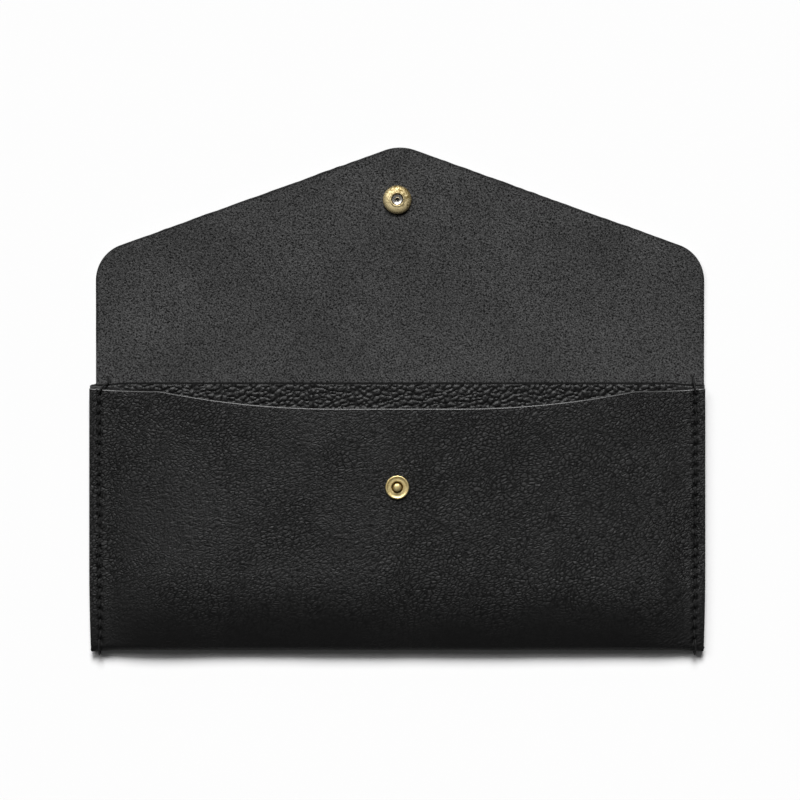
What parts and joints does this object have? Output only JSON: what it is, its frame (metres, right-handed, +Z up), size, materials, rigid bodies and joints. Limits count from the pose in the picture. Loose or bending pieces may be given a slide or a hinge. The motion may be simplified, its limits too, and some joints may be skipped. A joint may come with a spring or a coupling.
{
  "type": "envelope wallet",
  "caption": "Long leather envelope wallet with a pointed flap, a brass snap fastener and a pebbled inner divider.",
  "frame": {"origin": "middle of the pocket's top line, on the surface that the wallet lies on", "axes": "+X along the fold line to the right, +Y from the pocket to the flap's point, +Z up from the surface"},
  "size_m": [0.203, 0.1675, 0.0145],
  "materials": {
    "smooth_leather": "black full-grain leather, fine creased grain outside and matt suede flesh inside",
    "pebbled_leather": "black pebbled leather",
    "thread": "black waxed sewing thread",
    "brass": "aged satin brass"
  },
  "bodies": {
    "pocket": {"shell": "smooth_leather", "divider": "pebbled_leather", "left_seam_thread": "thread", "right_seam_thread": "thread", "snap_stud": "brass", "stud_pin": "brass"},
    "spine": {"flap_spine": "smooth_leather"},
    "flap": {"flap": "smooth_leather", "snap_socket": "brass", "socket_spring": "brass", "snap_cap": "brass"}
  },
  "joints": [
    {"name": "spine_fold", "type": "hinge", "parent": "pocket", "child": "spine", "pos_m": [0, 0.00648, 0.0016], "axis": [1, 0, 0], "range_deg": [0, 90]},
    {"name": "flap_fold", "type": "hinge", "parent": "spine", "child": "flap", "pos_m": [0, 0.02192, 0.0016], "axis": [1, 0, 0], "range_deg": [0, 90]}
  ],
  "couplings": [
    {"joint": "flap_fold", "follows": "spine_fold", "ratio": 1}
  ]
}
